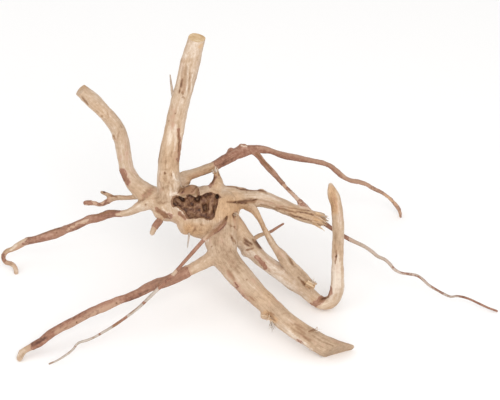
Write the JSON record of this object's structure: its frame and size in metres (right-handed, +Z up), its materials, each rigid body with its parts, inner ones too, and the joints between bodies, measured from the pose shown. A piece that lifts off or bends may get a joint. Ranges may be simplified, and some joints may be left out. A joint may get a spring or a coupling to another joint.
{
  "type": "bogwood root",
  "caption": "Peeled root wood for an aquarium: a hollow burl with thick sawn limbs, a hooked limb, torn limbs, bark-covered roots and long hair roots.",
  "frame": {"origin": "centre of the bounding box, on the surface that the root stands on", "axes": "+Z up, +X along the longest extent, towards the tip of the long hair root; the hollow in the burl looks towards -Y and up"},
  "size_m": [0.4579, 0.2322, 0.2506],
  "materials": {
    "wood": "dry peeled wood, matte, with reddish brown bark left on the roots"
  },
  "bodies": {
    "root": {"bogwood_root": "wood"}
  },
  "joints": []
}
